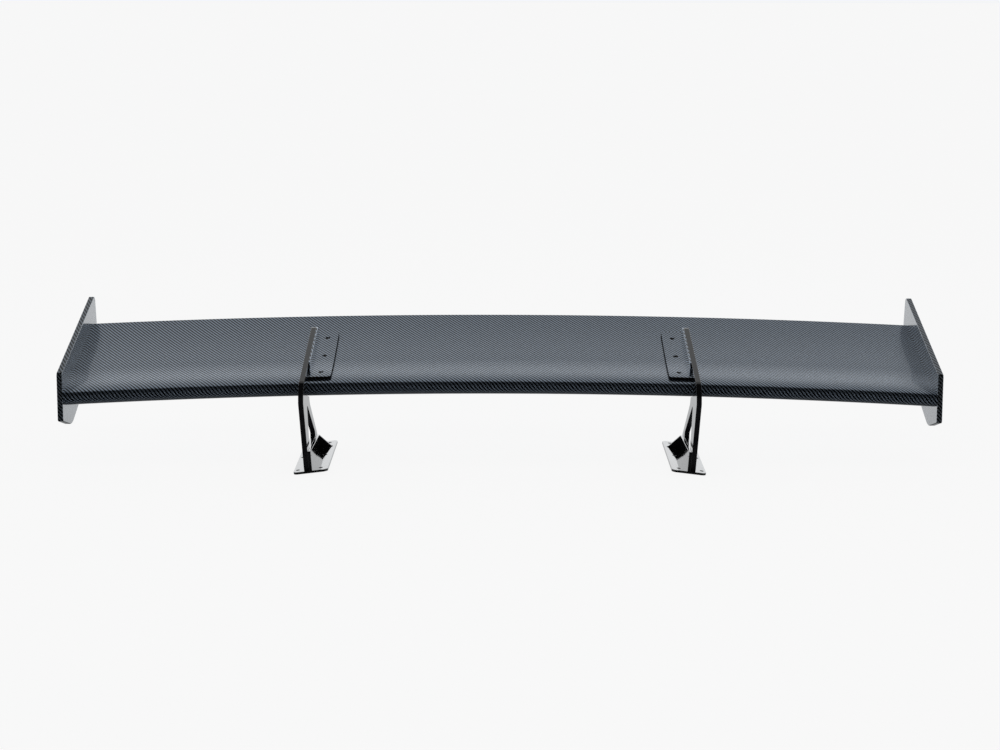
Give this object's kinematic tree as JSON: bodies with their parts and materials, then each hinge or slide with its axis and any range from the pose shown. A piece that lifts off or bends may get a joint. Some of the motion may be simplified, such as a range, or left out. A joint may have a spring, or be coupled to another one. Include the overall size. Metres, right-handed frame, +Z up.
{
  "type": "racing rear wing",
  "caption": "Full-width carbon rear wing: an arched inverted aerofoil between two endplates, held from above by swan-neck uprights on tilted bolt-down base plates.",
  "frame": {"origin": "under the middle of the wing, centred fore and aft in the whole wing's box, level with the lowest edges of the base plates", "axes": "+X along the span, +Y rearward with the airflow, +Z up"},
  "size_m": [1.55, 0.4023, 0.2519],
  "materials": {
    "wing_carbon": "2x2 twill carbon under clear gloss",
    "endplate_carbon": "2x2 twill carbon plate under clear gloss",
    "inner_carbon": "bare carbon laminate",
    "foam": "closed-cell structural foam",
    "block_aluminium": "milled",
    "insert_brass": "machined",
    "black_screw": "black oxide",
    "black_gloss": "gloss black powder coat"
  },
  "bodies": {
    "root": {"upper_skin": "wing_carbon", "lower_skin": "wing_carbon", "trailing_edge_strip": "wing_carbon", "nose_core": "foam", "tail_core": "foam", "front_spar": "inner_carbon", "rear_spar": "inner_carbon", "centre_rib": "inner_carbon", "inner_rib_left": "inner_carbon", "middle_rib_left": "inner_carbon", "outer_rib_left": "inner_carbon", "end_rib_left": "inner_carbon", "bracket_block_left": "block_aluminium", "bracket_inserts_left": "insert_brass", "end_inserts_left": "insert_brass", "endplate_left": "endplate_carbon", "endplate_screws_left": "black_screw", "upright_left": "black_gloss", "top_angle_left": "wing_carbon", "top_screws_left": "black_screw", "base_plate_left": "black_gloss", "base_tab_left": "black_gloss", "base_gusset_left": "black_gloss", "inner_rib_right": "inner_carbon", "middle_rib_right": "inner_carbon", "outer_rib_right": "inner_carbon", "end_rib_right": "inner_carbon", "bracket_block_right": "block_aluminium", "bracket_inserts_right": "insert_brass", "end_inserts_right": "insert_brass", "endplate_right": "endplate_carbon", "endplate_screws_right": "black_screw", "upright_right": "black_gloss", "top_angle_right": "wing_carbon", "top_screws_right": "black_screw", "base_plate_right": "black_gloss", "base_tab_right": "black_gloss", "base_gusset_right": "black_gloss"}
  },
  "joints": []
}
